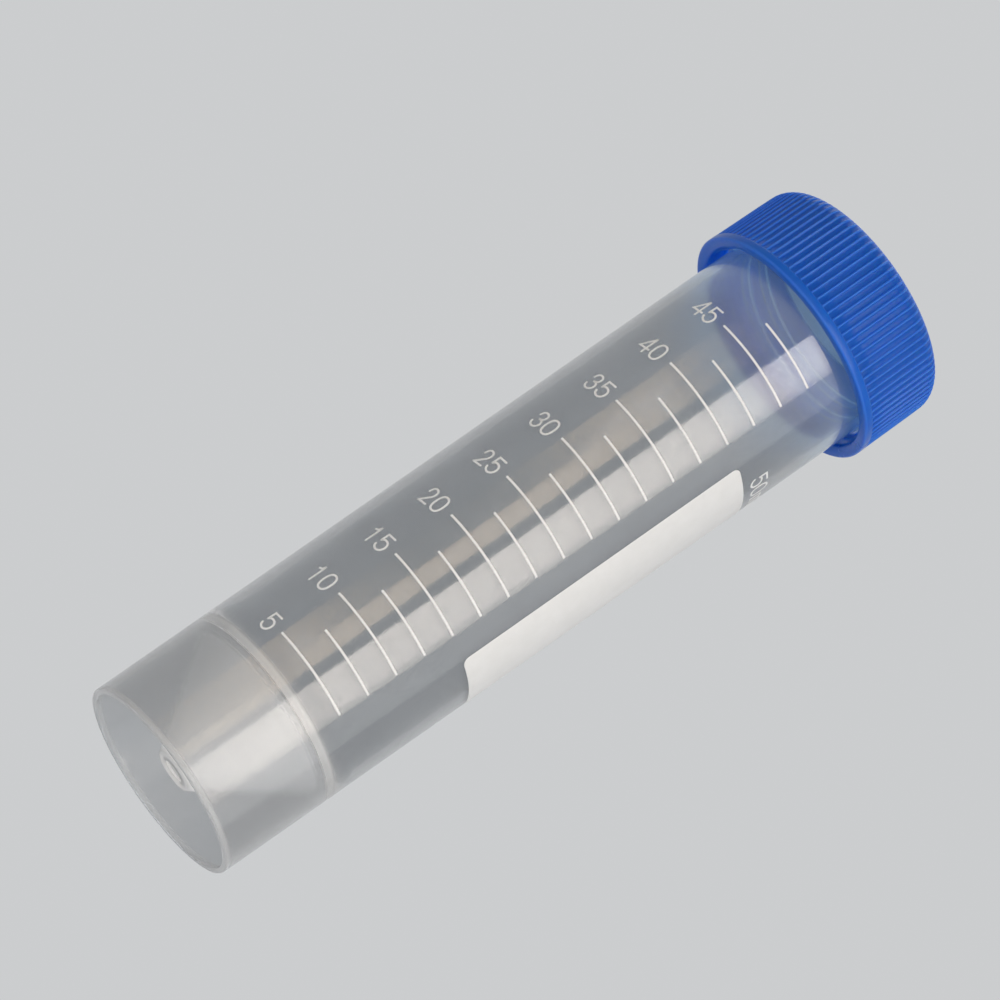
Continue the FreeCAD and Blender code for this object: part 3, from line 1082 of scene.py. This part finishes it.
def makeFloor():
    # pale sheet that fades into the paper behind it, and is open from below; the low lamp
    # shines up through it
    bm = bmesh.new()
    turnOutline(bm, [(r, 0) for r in studio["floorRings"]], evenAngles(studio["floorColumns"]))
    bmesh.ops.reverse_faces(bm, faces=bm.faces)
    mesh = bpy.data.meshes.new("floor")
    bm.to_mesh(mesh)
    bm.free()
    floor = bpy.data.objects.new("floor", mesh)
    bpy.context.scene.collection.objects.link(floor)
    material, nodes, links = newMaterial("paleFloor")
    mesh.materials.append(material)
    sheet = nodes.new("ShaderNodeBsdfDiffuse")
    sheet.inputs["Color"].default_value = (*studio["floorTone"], 1)
    shine = nodes.new("ShaderNodeEmission")
    shine.inputs["Color"].default_value = (*studio["paper"], 1)
    shown = workOut(nodes, links, "MULTIPLY", seenRays(nodes, links), studio["floorShine"])
    lit = mixOf(nodes, links, shown, sheet.outputs["BSDF"], shine.outputs["Emission"])
    clear = nodes.new("ShaderNodeBsdfTransparent")
    coords = nodes.new("ShaderNodeTexCoord")
    distance = nodes.new("ShaderNodeVectorMath")
    distance.operation = "LENGTH"
    links.new(coords.outputs["Object"], distance.inputs[0])
    fade = shareBetween(nodes, links, distance.outputs["Value"], studio["floorFadeFrom"],
                        studio["floorFadeTo"], "SMOOTHSTEP")
    side = nodes.new("ShaderNodeNewGeometry")
    path = nodes.new("ShaderNodeLightPath")
    gone = workOut(nodes, links, "MAXIMUM", side.outputs["Backfacing"], path.outputs["Is Shadow Ray"])
    gone = workOut(nodes, links, "MAXIMUM", fade, gone)
    showSurface(nodes, links, mixOf(nodes, links, gone, lit, clear.outputs["BSDF"]))


lamps = {
    # side: degrees round from -Y towards +X; away, height and aim in metres
    "bandKey": {"side": 26, "away": 0.60, "height": 0.25, "aim": 0.25, "size": (0.43, 0.22),
                "watts": 2.0, "tone": (1, 0.915, 0.83)},
    "bandEdge": {"side": 49, "away": 0.62, "height": 0.25, "aim": 0.25, "size": (0.07, 0.22),
                 "watts": 0.22, "tone": (1, 0.915, 0.83)},
    "bandFoot": {"side": 29.5, "away": 0.60, "height": 0.07, "aim": 0.07, "size": (0.51, 0.14),
                 "watts": 0.12, "tone": (1, 1, 1)},
    "bandTail": {"side": 68, "away": 0.75, "height": 0.22, "aim": 0.22, "size": (0.40, 0.44),
                 "watts": 0.6, "tone": (1, 1, 1)},
    "warmCard": {"side": -17, "away": 0.60, "height": 0.237, "aim": 0.237, "size": (0.22, 0.145),
                 "watts": 0.27, "tone": (1, 0.70, 0.38)},
    "warmHigh": {"side": -41, "away": 0.60, "height": 0.292, "aim": 0.292, "size": (0.29, 0.036),
                 "watts": 0.09, "tone": (1, 0.70, 0.38)},
    "warmLow": {"side": -41, "away": 0.60, "height": 0.180, "aim": 0.180, "size": (0.29, 0.030),
                "watts": 0.075, "tone": (1, 0.70, 0.38)},
    "warmFoot": {"side": -9, "away": 0.60, "height": 0.150, "aim": 0.150, "size": (0.14, 0.018),
                 "watts": 0.05, "tone": (1, 0.80, 0.60)},
    "softTop": {"side": 120, "away": 0.25, "height": 0.80, "aim": 0.06, "size": (0.8, 0.8),
                "watts": 1.9, "tone": (1, 1, 1)},
    "backFill": {"side": 200, "away": 0.45, "height": 0.85, "aim": 0.06, "size": (0.5, 0.5),
                 "watts": 1.4, "tone": (0.97, 0.985, 1)},
    "rearKey": {"side": 238, "away": 0.50, "height": 0.78, "aim": 0.06, "size": (0.5, 0.5),
                "watts": 2.2, "tone": (1, 1, 1)},
    "lowFill": {"side": -5, "away": 0.50, "height": -0.40, "aim": 0.03, "size": (0.5, 0.5),
                "watts": 1.6, "tone": (1, 1, 1)},
}


def makeLamps():
    for name, lamp in lamps.items():
        data = bpy.data.lights.new(name, "AREA")
        data.shape = "RECTANGLE"
        data.size, data.size_y = lamp["size"]
        data.energy = lamp["watts"]
        data.color = lamp["tone"]
        a = math.radians(lamp["side"])
        light = bpy.data.objects.new(name, data)
        light.visible_camera = False
        light.location = (lamp["away"] * math.sin(a), -lamp["away"] * math.cos(a), lamp["height"])
        light.rotation_mode = "QUATERNION"
        aim = Vector((0, 0, lamp["aim"])) - light.location
        light.rotation_quaternion = aim.to_track_quat("-Z", "Y")
        bpy.context.scene.collection.objects.link(light)


view = {
    "place": (0, -0.62731, -0.1521),
    "aim": (-0.00474, 0, 0.05942),
    "rollDeg": 55.28,
    "lens": 181.5,
    "near": 0.05,
    "far": 20,
}


def makeCamera():
    data = bpy.data.cameras.new("camera")
    data.lens = view["lens"]
    camera = bpy.data.objects.new("camera", data)
    camera.location = view["place"]
    look = Vector(view["aim"]) - Vector(view["place"])
    camera.rotation_mode = "QUATERNION"
    roll = Quaternion((0, 0, 1), math.radians(view["rollDeg"]))
    camera.rotation_quaternion = look.to_track_quat("-Z", "Y") @ roll
    data.clip_start = view["near"]
    data.clip_end = view["far"]
    bpy.context.scene.collection.objects.link(camera)
    bpy.context.scene.camera = camera


bounces = {
    "clear": 32,  # straight on through clear faces
    "most": 16,
    "milk": 8,  # inside the wall
}

makeWorld()
makeFloor()
makeLamps()
makeCamera()
scene = bpy.context.scene
scene.view_settings.view_transform = "Standard"
scene.cycles.transparent_max_bounces = bounces["clear"]
scene.cycles.max_bounces = bounces["most"]
scene.cycles.volume_bounces = bounces["milk"]
scene.cycles.sampling_pattern = "TABULATED_SOBOL"
print("stage ready")
